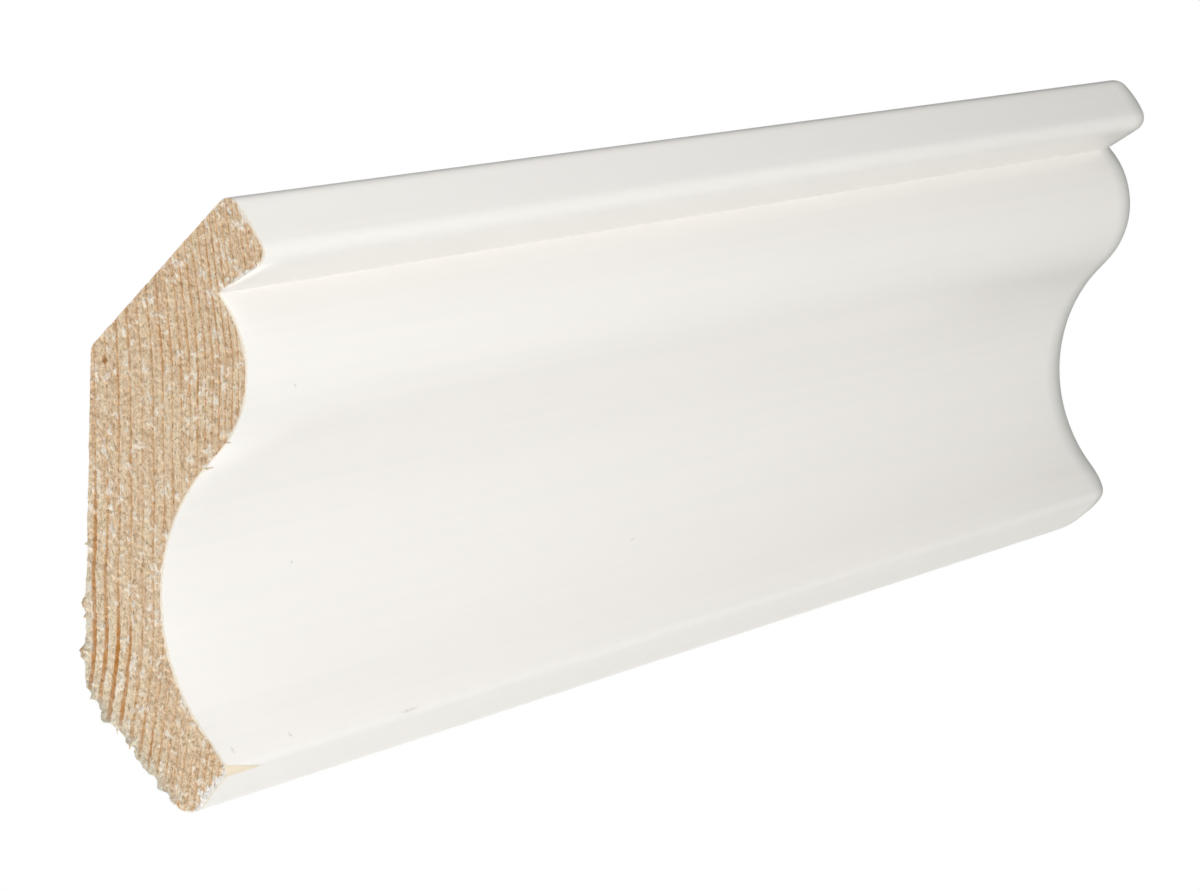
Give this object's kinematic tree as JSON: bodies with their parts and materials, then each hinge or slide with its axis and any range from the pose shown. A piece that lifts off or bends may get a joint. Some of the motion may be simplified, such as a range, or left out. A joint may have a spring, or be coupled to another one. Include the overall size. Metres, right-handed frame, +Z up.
{
  "type": "crown moulding length",
  "caption": "Length of painted softwood crown moulding with an ogee face, fixed in the angle between a wall and a ceiling; ends cut square.",
  "frame": {"origin": "the middle of the wall face, which lies in the plane y = 0", "axes": "+X along the length, to the right when the face is seen from the room; +Y into the wall, so the room is towards -Y; +Z up towards the ceiling"},
  "size_m": [0.323, 0.0697, 0.0601],
  "materials": {
    "painted_softwood": "smooth satin warm-white factory paint on the face; bare sawn softwood on the left end, back and bearing faces"
  },
  "bodies": {
    "root": {"crown_moulding": "painted_softwood"}
  },
  "joints": []
}
